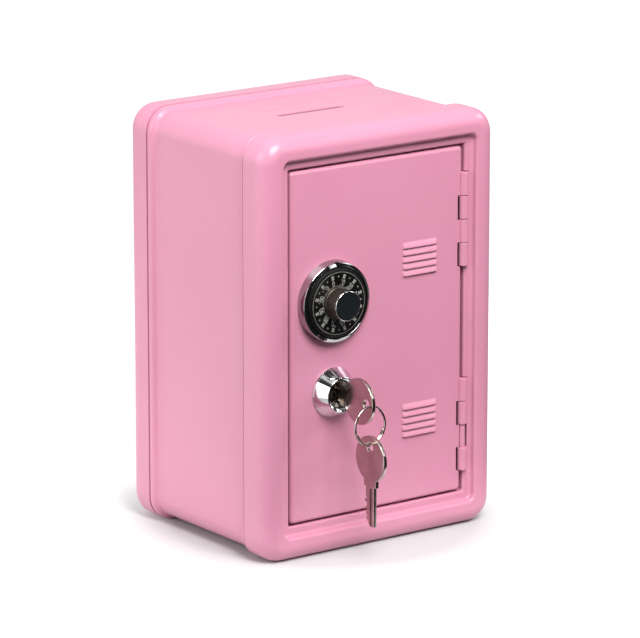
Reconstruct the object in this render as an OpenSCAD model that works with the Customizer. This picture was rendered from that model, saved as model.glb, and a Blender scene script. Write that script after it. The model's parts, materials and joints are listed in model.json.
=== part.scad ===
// Toy safe coin bank: a sheet-steel housing with a louvred, hinged door,
// a turning number dial, a cam lock, its key and a spare key on a ring.
//
// The safe stands on the XY plane with +Z up and its door facing -Y.  Every
// piece is drawn "lying down", looking straight at the door: x to the right,
// y up from mid height, z towards the viewer with z = 0 on the front plane.
// The module stand() then sets the drawing upright.

/* [Housing] */
// Width of the safe
width = 120; // [110:1:140]
// Depth from the front plane to the back
depth = 100; // [80:1:120]
// Height of the safe
height = 180; // [176:1:200]
// Thickness of the pressed steel sheet
sheet = 0.8; // [0.6:0.1:1]
// Corner radius of the housing, seen from the front
corner_r = 11; // [10.5:0.5:14]

/* [Front frame] */
// Depth of the frame's outer flange
frame_depth = 14.7; // [13:0.1:18]
// Rounding between the flange and the front
frame_round = 7; // [5:0.5:7]
// Width of the flat crown of the frame
crown_w = 2; // [1:0.5:2]
// How far the door sits behind the crown
recess = 3; // [2:0.5:4]
// Width of the flat ledge around the doorway
ledge_w = 2.5; // [2:0.1:3]
// Depth of the lip that is folded back around the doorway
lip_depth = 12; // [10:0.5:12]

/* [Body shell] */
// How far the side, top and bottom panels sit below the frame
panel_drop = 2; // [1:0.5:3]
// Length of the coin slot
slot_len = 34; // [28:1:40]
// Width of the coin slot
slot_w = 3.4; // [2.6:0.1:4]
// Sideways place of the coin slot's middle
slot_x = -2.5; // [-10:0.5:10]

/* [Rear cover] */
// Depth of the rear cover's flange
cover_depth = 15.3; // [14:0.1:18]
// Rounding between the flange and the back
cover_round = 8; // [5:0.5:8]

/* [Door] */
// Gap around the door
door_gap = 0.9; // [0.6:0.1:1.2]
// Gap between the door and the frame on the hinge side
hinge_gap = 1.3; // [1:0.1:1.6]
// Depth of the door's folded edges
door_fold = 5; // [4:0.5:6]
// Length of one louvre
louvre_len = 18; // [14:1:22]
// Distance from one louvre to the next
louvre_pitch = 2.95; // [2.8:0.05:3.4]
// Louvres in each group
louvre_count = 5; // [3:1:6]

/* [Hinges] */
// Distance from one knuckle to the next
knuckle_pitch = 10.1; // [9:0.1:11]
// Outer radius of a knuckle
knuckle_r = 2.1; // [2:0.1:2.3]
// Radius of a hinge pin
pin_r = 1.25; // [1:0.05:1.3]

/* [Dial] */
// Sideways place of the dial and its height above mid height
dial_at = [-23.8, 18];
// Diameter of the dial's chrome bezel
bezel_d = 34.8; // [34:0.2:38]
// Height of the bezel above the door
bezel_h = 4.5; // [4:0.1:5]
// Diameter of the dial's knob
knob_d = 13.4; // [12:0.1:15]
// Height of the knob's top above the door
knob_top = 11.7; // [11:0.1:15]

/* [Lock] */
// Sideways place of the lock and its height above mid height
lock_at = [-22.9, -21];
// Diameter of the lock's cone where it meets the door
cone_d = 21.2; // [20:0.2:24]
// Height of the cone above the door
cone_h = 6.6; // [6:0.1:7.5]
// Length of the lock's barrel behind the door's front face
barrel_len = 12; // [12:0.5:14]
// Length of the cam from the lock's axis to its tip
cam_len = 25.5; // [24.5:0.5:28]

/* [Keys] */
// Thickness of a key
key_t = 1.6; // [1.4:0.1:1.8]
// Length of a key's head, from the blade's shoulder to its round end
bow_len = 21.7; // [20:0.1:23]
// Diameter of the head's round bow
bow_w = 19.6; // [17:0.1:20]
// Length of a key's blade
blade_len = 17; // [16:0.1:17.2]
// Width of a key's blade
blade_w = 5.6; // [5:0.1:5.6]
// Radius of the key ring, to the middle of its wire
ring_r = 8; // [7.6:0.1:9]
// Radius of the key ring's wire
wire_r = 0.5; // [0.4:0.05:0.6]

/* [Hidden] */
$fn = 48;

pink = [0.91, 0.62, 0.71];
chrome = [0.80, 0.80, 0.82];
black = [0.06, 0.06, 0.07];
nickel = [0.72, 0.70, 0.68];
zinc = [0.62, 0.63, 0.65];
brass = [0.72, 0.58, 0.30];

foot_mid = 11;             // from the front plane back to the middle of the frame's foot
fit = 0.05;                // radial clearance of a running fit
gap = 0.3;                 // clearance between pieces that move past each other
seam = 0.5;                // how far the regions of one pressing run into each other

// doorway and door
step_w = recess;           // the pressed step is as wide as it is deep
inner_r = 4.5;             // corner radius where the step begins
step_at = frame_round + crown_w;
ledge_at = step_at + step_w;
open_at = ledge_at + ledge_w;
open_w = width - 2 * open_at;
open_h = height - 2 * open_at;
door_left = -open_w / 2 + door_gap;
door_right = open_w / 2 - hinge_gap;
door_h = open_h - 2 * door_gap;
door_z = -recess;
lip_end = door_z - lip_depth;
stop_tab = [2.5, 8];       // how far each door stop reaches in, and its height
stop_y = 50;

// hinges
hinge_x = open_w / 2 - 0.5;
hinge_z = door_z;
hinge_len = 4 * knuckle_pitch;
hinge_tops = [63.6, -25.5];

// louvres
louvre_x = 21.9;
louvre_tops = [34.9, -34.6];
louvre_rise = 1;
louvre_h = 2.4;

// dial
stem_r = 4.9;
stem_len = 7;
spindle_r = 2.5;
floor_h = 1;
disc_r = 14.8;
disc_h = [1.3, 3.9];       // underside and face of the disc at the knob, above the door
disc_dish = 1.2;           // how far the face rises towards its rim
clip_h = [-8.5, -7.9];

// lock
barrel_r = 7.8;
barrel_flat = 6.8;         // half the width across the barrel's two flats
plug_r = 5.7;
plug_face = 4.4;
keyway = [key_t + 0.4, blade_w + 0.4];
keyway_end = -10.8;
tail_side = 6;
stop_h = [-13.1, -12.2];   // underside and face of the stop washer
cam_h = [-14.6, -13.1];
lock_washer_h = [-15.3, -14.6];
screw_head_h = 2;
wafer_t = 1;
wafer_w = 6.8;
wafer_reach = 5.2;
wafer_at = [for (i = [0:3]) 1.6 - 2.6 * i];
spring_r = 0.55;
spring_wire_r = 0.12;

// keys
shoulder_z = 3.6;          // where the key's shoulder stops, in front of the front plane
hole_r = 2.1;
neck_w = 8.4;
hole_u = bow_len - 4.5;    // from the shoulder to the middle of the bow's hole
cut_depth = [0.5, 0.8, 0.4, 0.7]; // of the key's cuts, from the shoulder to the tip
hang = [1.2, 0.8];         // the ring's wire rests this far in front of and below the middle of the key's hole
turn_gap = 1.8 * wire_r;   // between the middles of the ring's two turns
spare_hang = [0.3, 0.9];   // the spare key's hole lies this far in front of and below the two turns
spare_slide = 0.5;         // how far the spare key has slid along the ring
ring_z = shoulder_z + hole_u + hang[0];
ring_top = lock_at[1] - hang[1];
ring_y = ring_top - ring_r;
spare_hole_y = ring_y - ring_r - spare_hang[1];

// ---------- helpers ----------

// Sets a piece that is drawn lying down upright on its feet.
module stand() {
    translate([0, -foot_mid, height / 2]) rotate([90, 0, 0]) children();
}

// Moves to the dial's or the lock's axis, with z = 0 on the door's front face.
module on_door(at) {
    translate([at[0], at[1], door_z]) children();
}

// A plain disc or ring between two heights.
module ring(r, heights, bore = 0) {
    translate([0, 0, heights[0]]) difference() {
        cylinder(r = r, h = heights[1] - heights[0]);
        if (bore > 0)
            translate([0, 0, -1]) cylinder(r = bore, h = heights[1] - heights[0] + 2);
    }
}

// A rectangle with round corners, centred.
module round_rect(w, h, r) {
    square([w - 2 * r, h], center = true);
    square([w, h - 2 * r], center = true);
    for (sx = [-1, 1], sy = [-1, 1])
        translate([sx * (w / 2 - r), sy * (h / 2 - r)]) circle(r);
}

// Carries a section once around a rectangle with round corners.  In the
// section x counts outwards from the rectangle and y counts forwards.
module loop(w, h, r) {
    for (i = [0:3]) {
        out = (i % 2 == 0 ? w : h) / 2;
        half = (i % 2 == 0 ? h : w) / 2 - r;
        rotate(90 * i) {
            translate([out, 0, 0]) rotate([90, 0, 0])
                linear_extrude(2 * half, center = true) children();
            translate([out - r, half, 0])
                rotate_extrude(angle = 90) translate([r, 0]) children();
        }
    }
}

function arc(c, r, from, to, n = 6) =
    [for (i = [0:n]) c + r * [cos(from + (to - from) * i / n), sin(from + (to - from) * i / n)]];

// A soft step from point a to point b.
function soft_step(a, b, n = 6) =
    [for (i = [0:n]) [a[0] + (b[0] - a[0]) * (1 - cos(180 * i / n)) / 2, a[1] + (b[1] - a[1]) * i / n]];

function to_left(path, i) =
    let (d = path[min(i + 1, len(path) - 1)] - path[max(i - 1, 0)]) [-d[1], d[0]] / norm(d);

// Sheet of thickness t whose visible face follows the path; the thickness lies on its left.
module sheet_section(path, t = sheet) {
    back = [for (i = [len(path) - 1:-1:0]) path[i] + t * to_left(path, i)];
    polygon(concat(path, back));
}

// Runs its children along the hinge axis, over the knuckles that match a parity.
module at_knuckles(parity) {
    for (top = hinge_tops, i = [parity:2:3])
        translate([hinge_x, top - (i + 1) * knuckle_pitch, hinge_z])
            rotate([-90, 0, 0]) children();
}

module knuckle() {
    translate([0, 0, gap / 2]) cylinder(r = knuckle_r, h = knuckle_pitch - gap);
}

// A box that leaves room for the other half's knuckle.
module knuckle_room(reach) {
    translate([-knuckle_r - reach[0], -4, -gap / 2])
        cube([2 * knuckle_r + reach[0] + reach[1], 6.6, knuckle_pitch + gap]);
}

module hinge_bore(r) {
    for (top = hinge_tops)
        translate([hinge_x, top + 1, hinge_z]) rotate([90, 0, 0]) cylinder(r = r, h = hinge_len + 2);
}

// ---------- housing ----------

body_path = concat(
    [[-sheet, -(depth - 8)], [-sheet, -(depth - cover_depth)]],
    [[-0.1, -(depth - cover_depth) + 0.6], [-0.1, -(depth - cover_depth) + 2.2]],
    soft_step([-0.1, -(depth - cover_depth) + 2.5], [-panel_drop, -(depth - cover_depth) + 5.2]),
    soft_step([-panel_drop, -frame_depth - 3.4], [-0.1, -frame_depth - 1]),
    [[-0.1, -frame_depth - 0.4], [-sheet, -frame_depth], [-sheet, -frame_round - 1]]
);

module body_shell() color(pink) stand() difference() {
    loop(width, height, corner_r) sheet_section(body_path);
    // coin slot in the top
    translate([slot_x, height / 2, -depth / 2 + 3]) rotate([90, 0, 0])
        linear_extrude(20, center = true) round_rect(slot_len, slot_w, 0.6);
}

frame_path = concat(
    [[0, -frame_depth]],
    arc([-frame_round, -frame_round], frame_round, 0, 90, 10),
    [[-frame_round - seam, 0]]
);

step_path = concat(
    [[seam, 0]],
    arc([0, -recess / 2], recess / 2, 90, 180),
    arc([-step_w, -recess / 2], recess / 2, 0, -90),
    [[-step_w - seam, -recess]]
);

module front_frame() color(pink) stand() difference() {
    union() {
        loop(width, height, corner_r) sheet_section(frame_path);
        // crown
        translate([0, 0, -sheet]) linear_extrude(sheet) difference() {
            round_rect(width - 2 * frame_round, height - 2 * frame_round, corner_r - frame_round);
            round_rect(width - 2 * step_at, height - 2 * step_at, inner_r);
        }
        loop(width - 2 * step_at, height - 2 * step_at, inner_r) sheet_section(step_path);
        // ledge
        translate([0, 0, door_z - sheet]) linear_extrude(sheet) difference() {
            round_rect(width - 2 * ledge_at, height - 2 * ledge_at, inner_r - step_w);
            round_rect(open_w, open_h, 0.6);
        }
        // lip folded back around the doorway
        translate([0, 0, lip_end]) linear_extrude(lip_depth) difference() {
            round_rect(open_w + 2 * sheet, open_h + 2 * sheet, 0.6 + sheet);
            round_rect(open_w, open_h, 0.6);
        }
        at_knuckles(1) knuckle();
        // door stops bent inwards from the lip
        for (side = [-1, 1])
            translate([-open_w / 2 - 0.2, side * stop_y - stop_tab[1] / 2, door_z - door_fold - gap - sheet])
                cube([stop_tab[0] + 0.2, stop_tab[1], sheet]);
    }
    at_knuckles(0) knuckle_room([0.9, 0.4]);
    hinge_bore(pin_r);
}

cover_path = concat(
    [[-cover_round - seam, -depth]],
    arc([-cover_round, cover_round - depth], cover_round, -90, 0, 10),
    [[0, -(depth - cover_depth)]]
);

module rear_cover() color(pink) stand() union() {
    loop(width, height, corner_r) sheet_section(cover_path);
    translate([0, 0, -depth]) linear_extrude(sheet)
        round_rect(width - 2 * cover_round, height - 2 * cover_round, corner_r - cover_round);
}

// ---------- door ----------

// One louvre: a tongue pressed forwards above its slit.
module louvre() {
    tongue = arc([0, louvre_rise - louvre_h], louvre_h, 90, 35, 5);
    translate([-louvre_len / 2, 0, 0]) rotate([90, 0, 90]) {
        linear_extrude(louvre_len) difference() {
            polygon(concat([[0, -0.3]], tongue, [[louvre_h, -0.3]]));
            polygon(concat([[-1, -0.3 - sheet]], [for (p = tongue) p - [0, 0.5]], [[louvre_h - 0.8, -0.3 - sheet]]));
        }
        for (end = [0, louvre_len - 0.5])
            translate([0, 0, end]) linear_extrude(0.5) polygon(concat([[0, -0.3]], tongue, [[louvre_h, -0.3]]));
    }
}

module at_louvres() {
    for (top = louvre_tops, i = [0:louvre_count - 1])
        translate([louvre_x, top - i * louvre_pitch, door_z]) children();
}

module door_panel() color(pink) stand() difference() {
    union() {
        difference() {
            translate([door_left, -door_h / 2, door_z - door_fold])
                cube([door_right - door_left, door_h, door_fold]);
            translate([door_left + sheet, -door_h / 2 + sheet, door_z - door_fold - 1])
                cube([door_right - door_left - 2 * sheet, door_h - 2 * sheet, door_fold - sheet + 1]);
            // windows behind the louvres
            at_louvres() translate([-louvre_len / 2 + 0.5, 0, -2]) cube([louvre_len - 1, 1.6, 3]);
        }
        at_louvres() louvre();
        at_knuckles(0) knuckle();
    }
    at_knuckles(1) knuckle_room([0.9, 0.4]);
    hinge_bore(pin_r + fit);
    on_door(dial_at) ring(stem_r + 0.1, [-2, 1]);
    on_door(lock_at) linear_extrude(4, center = true) barrel_outline(0.1);
}

module hinge_pin(top) color(pink) stand()
    translate([hinge_x, top - 0.2, hinge_z]) rotate([90, 0, 0]) cylinder(r = pin_r, h = hinge_len - 0.4);

module upper_hinge_pin() hinge_pin(hinge_tops[0]);
module lower_hinge_pin() hinge_pin(hinge_tops[1]);

// ---------- dial ----------

module dial_bezel() color(chrome) stand() on_door(dial_at) rotate_extrude()
    polygon(concat(
        [[spindle_r + fit, -stem_len], [stem_r, -stem_len], [stem_r, 0], [bezel_d / 2, 0]],
        arc([bezel_d / 2 - 0.8, bezel_h - 1.2], 0.4, 0, 60, 4),
        arc([disc_r + 0.55, bezel_h - 0.2], 0.2, 75, 180, 4),
        [[disc_r + 0.35, floor_h], [spindle_r + fit, floor_h]]
    ));

module dial_nut() color(zinc) stand() on_door(dial_at) translate([0, 0, -sheet - 3]) difference() {
    cylinder(r = 8.1, h = 3, $fn = 6);
    translate([0, 0, -1]) cylinder(r = stem_r, h = 5);
}

module dial_disc() color(black) stand() on_door(dial_at) rotate_extrude()
    polygon([
        [spindle_r, disc_h[0]], [disc_r, disc_h[0]], [disc_r, disc_h[1] + disc_dish - 0.8],
        [disc_r - 0.3, disc_h[1] + disc_dish - 0.4], [13.2, disc_h[1] + disc_dish],
        [11.3, disc_h[1] + 0.95 * disc_dish], [8.4, disc_h[1] + 0.5 * disc_dish],
        [knob_d / 2, disc_h[1]], [spindle_r, disc_h[1]]
    ]);

module dial_knob() color(nickel) stand() on_door(dial_at) difference() {
    rotate_extrude() polygon([
        [0, disc_h[1]], [knob_d / 2, disc_h[1]], [knob_d / 2, disc_h[1] + 0.8],
        [knob_d / 2 - 0.5, knob_top - 1], [0, knob_top - 1]
    ]);
    translate([0, 0, disc_h[1] - 1]) cylinder(r = spindle_r, h = knob_top - disc_h[1] - 2);
}

module knob_ring() color(chrome) stand() on_door(dial_at)
    ring(knob_d / 2 - 0.4, [knob_top - 1, knob_top], knob_d / 2 - 1);

module knob_cap() color(black) stand() on_door(dial_at)
    ring(knob_d / 2 - 1, [knob_top - 1, knob_top - 0.2]);

module dial_spindle() color(zinc) stand() on_door(dial_at) difference() {
    ring(spindle_r, [-9.6, knob_top - 3]);
    ring(spindle_r + 1, clip_h, spindle_r - 0.5);
}

module spindle_washer() color(zinc) stand() on_door(dial_at)
    ring(4.2, [-stem_len - 0.8, -stem_len], spindle_r + 0.2);

module spindle_clip() color(zinc) stand() on_door(dial_at) difference() {
    ring(4.4, clip_h, spindle_r - 0.5);
    translate([0, -5, 0]) cube([3, 10, 40], center = true);
}

// ---------- lock ----------

// The barrel's round with two flats; grow makes the matching hole in the door.
module barrel_outline(grow = 0) intersection() {
    circle(barrel_r + grow);
    square([4 * barrel_r, 2 * (barrel_flat + grow)], center = true);
}

module sector(r, from, to) {
    polygon(concat([[0, 0]], arc([0, 0], r, from, to, 6)));
}

module lock_housing() color(chrome) stand() on_door(lock_at) difference() {
    union() {
        rotate_extrude() polygon([
            [0, 0], [cone_d / 2, 0], [cone_d / 2, 0.6], [7.6, cone_h - 0.4], [7.2, cone_h],
            [6.7, cone_h], [6.3, cone_h - 1.8], [0, cone_h - 1.8]
        ]);
        translate([0, 0, -barrel_len]) linear_extrude(barrel_len + 0.5) barrel_outline();
    }
    ring(plug_r + fit, [-20, 20]);
    // stop recess in the barrel's end, a quarter turn plus the lug's own width
    translate([0, 0, -barrel_len - 1]) linear_extrude(2.6)
        difference() {
            sector(12, -198, -72);
            circle(plug_r);
        }
}

module lock_nut() color(zinc) stand() on_door(lock_at) translate([0, 0, -sheet - 3]) difference() {
    cylinder(r = 11.2, h = 3, $fn = 6);
    translate([0, 0, -1]) linear_extrude(5) barrel_outline();
}

module lock_plug() color(brass) stand() on_door(lock_at) difference() {
    union() {
        ring(plug_r, [-barrel_len, plug_face]);
        translate([0, 0, cam_h[0] / 2 - 1])
            cube([tail_side, tail_side, -cam_h[0] - 2], center = true);
    }
    // keyway with a funnelled mouth
    translate([0, 0, (plug_face + 1 + keyway_end) / 2])
        cube([keyway[0], keyway[1], plug_face + 1 - keyway_end], center = true);
    // slots for the wafers and pockets for their springs
    for (h = wafer_at) translate([0, 0, h]) {
        cube([wafer_w + 0.1, 20, wafer_t + 0.1], center = true);
        translate([wafer_w / 2 + 0.55, 0, 0]) cube([1.5, 5, 1.4], center = true);
    }
    ring(1.6, [-20, keyway_end - 0.6]);
}

module wafer() difference() {
    intersection() {
        union() {
            cube([wafer_w, 2 * wafer_reach, wafer_t], center = true);
            translate([wafer_w / 2 + 0.4, 1.6, 0]) cube([1.2, 1.2, wafer_t], center = true);
        }
        cylinder(r = plug_r - 0.1, h = 4, center = true);
    }
    cube([keyway[0] + 0.2, keyway[1] + 0.3, 4], center = true);
}

module lock_wafers() color(brass) stand() on_door(lock_at)
    for (h = wafer_at) translate([0, 0, h]) wafer();

// A helical wire as rings of five points, closed at both ends.
module coil(r, wire, length, turns) {
    sides = 5;
    steps = 8 * turns;
    points = [for (i = [0:steps], j = [0:sides - 1])
        let (a = 360 * turns * i / steps, b = 360 * j / sides)
        [(r + wire * cos(b)) * cos(a), (r + wire * cos(b)) * sin(a), length * i / steps + wire * sin(b)]];
    walls = [for (i = [0:steps - 1], j = [0:sides - 1])
        let (k = (j + 1) % sides)
        [i * sides + j, i * sides + k, (i + 1) * sides + k, (i + 1) * sides + j]];
    ends = [[for (j = [sides - 1:-1:0]) j], [for (j = [0:sides - 1]) steps * sides + j]];
    polyhedron(points, concat(ends, walls));
}

module wafer_springs() color(zinc) stand() on_door(lock_at)
    for (h = wafer_at)
        translate([wafer_w / 2 + 0.6, -2.3, h]) rotate([-90, 0, 0])
            coil(spring_r - spring_wire_r, spring_wire_r, 3.1, 3);

module stop_washer() color(zinc) stand() on_door(lock_at) difference() {
    union() {
        ring(7.4, stop_h);
        // lug that runs in the barrel's recess
        translate([0, 0, stop_h[0]]) linear_extrude(stop_h[1] - stop_h[0] + 1.2)
            difference() {
                intersection() {
                    sector(12, -106, -74);
                    circle(7.4);
                }
                circle(plug_r + 0.4);
            }
    }
    cube([tail_side, tail_side, 60], center = true);
}

module lock_cam() color(zinc) stand() on_door(lock_at) translate([0, 0, cam_h[0]]) difference() {
    linear_extrude(cam_h[1] - cam_h[0]) {
        circle(7);
        translate([-4.5, -cam_len + 2]) square([9, cam_len - 2]);
        translate([-2.5, -cam_len]) square([5, 4]);
        for (sx = [-1, 1]) translate([sx * 2.5, -cam_len + 2]) circle(2);
    }
    translate([-tail_side / 2, -tail_side / 2, -1]) cube([tail_side, tail_side, 5]);
}

module cam_washer() color(zinc) stand() on_door(lock_at) ring(4.6, lock_washer_h, 1.6);

module cam_screw() color(zinc) stand() on_door(lock_at) difference() {
    rotate_extrude() polygon(concat(
        [[0, lock_washer_h[0] - screw_head_h]],
        [[2.6, lock_washer_h[0] - screw_head_h], [3.8, lock_washer_h[0] - 1], [3.8, lock_washer_h[0]]],
        [[1.6, lock_washer_h[0]], [1.6, keyway_end - 1], [0, keyway_end - 1]]
    ));
    // cross recess
    for (turn = [0, 90]) rotate(turn)
        translate([0, 0, lock_washer_h[0] - screw_head_h]) cube([4, 0.9, 2], center = true);
}

// ---------- keys ----------

// A key's round bow.
module bow() {
    translate([bow_len - bow_w / 2, 0, 0]) cylinder(r = bow_w / 2, h = key_t, center = true);
}

// The neck, and the blade with its pointed tip.
module blade() {
    half = blade_w / 2;
    linear_extrude(key_t, center = true) polygon([
        [5, -neck_w / 2], [0, -neck_w / 2], [0, -half], [3.5 - blade_len, -half], [-blade_len, 0],
        [-blade_len, half - 0.4], [0.4 - blade_len, half], [0, half], [0, neck_w / 2], [5, neck_w / 2]
    ]);
}

// A key drawn along x, its shoulder at 0, and turned to lie in a plane of constant x.
module flat_key() rotate([0, -90, 0]) difference() {
    union() {
        bow();
        blade();
    }
    translate([hole_u, 0, 0]) cylinder(r = hole_r, h = 4, center = true);
    // cuts along the lower edge, one for each wafer
    for (i = [0:3]) translate([door_z + wafer_at[i] - shoulder_z, -blade_w / 2, 0])
        linear_extrude(4, center = true)
            polygon([[-0.7 - cut_depth[i], -0.1], [-0.5, cut_depth[i]], [0.5, cut_depth[i]], [0.7 + cut_depth[i], -0.1]]);
    // a shallow groove along each face
    for (face = [-1, 1])
        translate([-blade_len / 2 - 1, 1.1, face * key_t / 2]) cube([blade_len + 1, 1.9, 0.7], center = true);
}

module key() color(nickel) stand()
    translate([lock_at[0], lock_at[1], shoulder_z]) flat_key();

module key_ring() color(nickel) stand() translate([lock_at[0], ring_y, ring_z]) union() {
    rotate_extrude() translate([ring_r, 0]) circle(wire_r, $fn = 24);
    // the wire's second turn, pressed against the first along the lower half
    translate([0, 0, turn_gap]) rotate(195)
        rotate_extrude(angle = 150) translate([ring_r, 0]) circle(wire_r, $fn = 24);
}

module spare_key() color(nickel) stand()
    translate([lock_at[0] + spare_slide, spare_hole_y - hole_u, ring_z + turn_gap / 2 + spare_hang[0]])
        rotate([-90, 0, 0]) rotate(180) flat_key();

body_shell();
front_frame();
rear_cover();
door_panel();
upper_hinge_pin();
lower_hinge_pin();
dial_bezel();
dial_nut();
dial_disc();
dial_knob();
knob_ring();
knob_cap();
dial_spindle();
spindle_washer();
spindle_clip();
lock_housing();
lock_nut();
lock_plug();
lock_wafers();
wafer_springs();
stop_washer();
lock_cam();
cam_washer();
cam_screw();
key();
key_ring();
spare_key();
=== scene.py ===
"""Toy safe coin bank: the visible pieces and their materials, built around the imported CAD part.

Pieces are drawn in millimetres, looking straight at the door: x to the right, y up from mid
height, z towards the viewer with z = 0 on the front plane.  finish_piece() stands them upright.
"""
import json
import math

import bmesh
import bpy
from mathutils import Matrix, Vector


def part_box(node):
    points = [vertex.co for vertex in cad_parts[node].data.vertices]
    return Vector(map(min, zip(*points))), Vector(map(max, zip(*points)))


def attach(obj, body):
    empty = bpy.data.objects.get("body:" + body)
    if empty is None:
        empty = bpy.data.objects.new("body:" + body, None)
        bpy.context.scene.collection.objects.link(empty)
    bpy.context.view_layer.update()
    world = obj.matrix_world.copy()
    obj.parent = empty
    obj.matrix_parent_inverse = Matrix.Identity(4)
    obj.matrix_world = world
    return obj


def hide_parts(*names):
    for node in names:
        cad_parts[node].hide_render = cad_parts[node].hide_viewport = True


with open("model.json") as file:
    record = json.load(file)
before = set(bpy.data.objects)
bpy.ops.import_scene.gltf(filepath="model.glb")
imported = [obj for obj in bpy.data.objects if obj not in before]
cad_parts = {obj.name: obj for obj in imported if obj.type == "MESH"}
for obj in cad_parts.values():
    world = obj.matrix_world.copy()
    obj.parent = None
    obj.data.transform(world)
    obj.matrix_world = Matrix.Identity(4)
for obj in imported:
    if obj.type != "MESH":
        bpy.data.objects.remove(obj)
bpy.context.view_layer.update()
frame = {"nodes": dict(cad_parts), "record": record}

MM = 0.001

# ---------- places and sizes, in millimetres and degrees ----------

frame_low, frame_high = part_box("front_frame")
FRONT_Y = frame_low.y
MID_Z = (frame_low.z + frame_high.z) / 2
WIDTH = (frame_high.x - frame_low.x) / MM
HEIGHT = (frame_high.z - frame_low.z) / MM
DEPTH = (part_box("rear_cover")[1].y - FRONT_Y) / MM
STAND = Matrix(((MM, 0, 0, 0), (0, 0, -MM, FRONT_Y), (0, MM, 0, MID_Z), (0, 0, 0, 1)))


def drawn_box(node):
    """A CAD node's box in the drawing's own millimetres: (lowest, highest)."""
    back = STAND.inverted()
    a, b = (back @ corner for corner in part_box(node))
    return Vector(map(min, a, b)), Vector(map(max, a, b))


def middle(node):
    """The middle of a CAD node's box, in the drawing's millimetres."""
    low, high = drawn_box(node)
    return (low + high) / 2


SHEET = 0.8
CORNER_R = 11

# the front frame, from its rim inwards: a round edge, a flat crown, a step down and a ledge
FRAME_DEPTH = 14.7
FRAME_ROUND = 7
CROWN_W = 2
RECESS = 3
STEP_R = RECESS / 2
LEDGE_W = 2.5
STEP_AT = FRAME_ROUND + CROWN_W
LEDGE_AT = STEP_AT + RECESS
OPEN_AT = LEDGE_AT + LEDGE_W
LIP_FOLD = 1

COVER_ROUND = 8
PANEL_DROP = 2
DOOR_Z = -RECESS
DOOR_EDGE_R = 1.5
DOOR_FOLD = 5

DIAL = middle("dial_bezel")
LOCK = middle("lock_housing")

# the hinges: each pin ends a little inside its stack of knuckles
HINGE = middle("upper_hinge_pin")
HINGE_PINS = ("upper_hinge_pin", "lower_hinge_pin")
PIN_R = 1.25
PIN_INSET = 0.2
HINGE_TOPS = [drawn_box(node)[1].y + PIN_INSET for node in HINGE_PINS]
KNUCKLE_COUNT = 4
KNUCKLE_PITCH = 10.1
KNUCKLE_R = 2.1
KNUCKLE_GAP = 0.3

# points closer together than this are one point
WELD = 0.002

# the dial's dished face: (radius, height above the door) from its rim to its centre
DISC_FACE = (
    (14.8, 4.3), (14.5, 4.72), (13.9, 4.95), (13.2, 5.1), (11.3, 5.04), (8.4, 4.5), (6.7, 3.9), (2.5, 3.9),
)

# the lock: heights above the door of the key's shoulder and of the four wafers
SHOULDER_H = 6.6
WAFER_PITCH = 2.6
WAFER_H = [1.6 - WAFER_PITCH * i for i in range(4)]

# from the key's shoulder to the end of its bow
KEY_BOW_LEN = 21.7

# the dial's ink: its thickness, and how far its middle lies above the face
INK = 0.06
INK_LIFT = 0.02

# ---------- drawing helpers ----------


def arc(cx, cy, r, start, end, steps):
    """Points on an arc, angles in degrees."""
    turns = [math.radians(start + (end - start) * i / steps) for i in range(steps + 1)]
    return [(cx + r * math.cos(a), cy + r * math.sin(a)) for a in turns]


def soft_step(a, b, steps=12):
    """Points on a smooth step from a to b."""
    return [
        (a[0] + (b[0] - a[0]) * (1 - math.cos(math.pi * i / steps)) / 2, a[1] + (b[1] - a[1]) * i / steps)
        for i in range(steps + 1)
    ]


def thicken(path):
    """The closed section of a sheet: its face follows the path, and its thickness lies on the left."""
    back = []
    for i, p in enumerate(path):
        before, after = Vector(path[max(i - 1, 0)]), Vector(path[min(i + 1, len(path) - 1)])
        d = (after - before).normalized()
        back.append((p[0] - SHEET * d.y, p[1] + SHEET * d.x))
    return list(path) + back[::-1]


def rounded_ring(half_w, half_h, r, z, steps):
    """Points once around a rectangle with round corners."""
    points = []
    for i, (sx, sy) in enumerate(((1, 1), (-1, 1), (-1, -1), (1, -1))):
        corner = arc(sx * (half_w - r), sy * (half_h - r), r, 90 * i, 90 * i + 90, steps)
        points += [(x, y, z) for x, y in corner]
    return points


def rounded_outline(half_w, half_h, r):
    """A small rectangle with round corners, as a flat outline."""
    return [(x, y) for x, y, _ in rounded_ring(half_w, half_h, r, 0, 4)]


def skin(rings, closed=False, caps=False):
    """A mesh through rings that have the same number of points."""
    bm = bmesh.new()
    rows = [[bm.verts.new(p) for p in ring] for ring in rings]
    n = len(rows[0])
    pairs = list(zip(rows, rows[1:])) + ([(rows[-1], rows[0])] if closed else [])
    for a, b in pairs:
        for i in range(n):
            bm.faces.new((a[i], a[(i + 1) % n], b[(i + 1) % n], b[i]))
    if caps:
        bm.faces.new(rows[0])
        bm.faces.new(rows[-1])
    return tidy(bm)


def tidy(bm):
    """Welds points that coincide and turns every face outwards."""
    bmesh.ops.remove_doubles(bm, verts=bm.verts, dist=WELD)
    bmesh.ops.recalc_face_normals(bm, faces=bm.faces)
    return bm


def around(section, half_w, half_h, corner, steps):
    """Carries a closed section round a rectangle; corner(inset) gives the corner radius."""
    least_r = 0.05
    rings = [
        rounded_ring(half_w + x, half_h + x, max(corner(-x), least_r), z, steps) for x, z in section
    ]
    return skin(rings, closed=True)


def lathe(profile, steps, closed=True, wobble=None):
    """Turns (radius, z) points about the z axis.  wobble(angle, radius, z) changes the radius."""
    rings = []
    for r, z in profile:
        ring = []
        for i in range(steps):
            a = 2 * math.pi * i / steps
            s = wobble(a, r, z) if wobble else r
            ring.append((s * math.cos(a), s * math.sin(a), z))
        rings.append(ring)
    return skin(rings, closed=closed)


def block(low, high):
    """A plain box."""
    bm = bmesh.new()
    bmesh.ops.create_cube(bm, size=1)
    low, high = Vector(low), Vector(high)
    bm.transform(Matrix.Translation((low + high) / 2) @ Matrix.Diagonal((*(high - low), 1)))
    return bm


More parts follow.
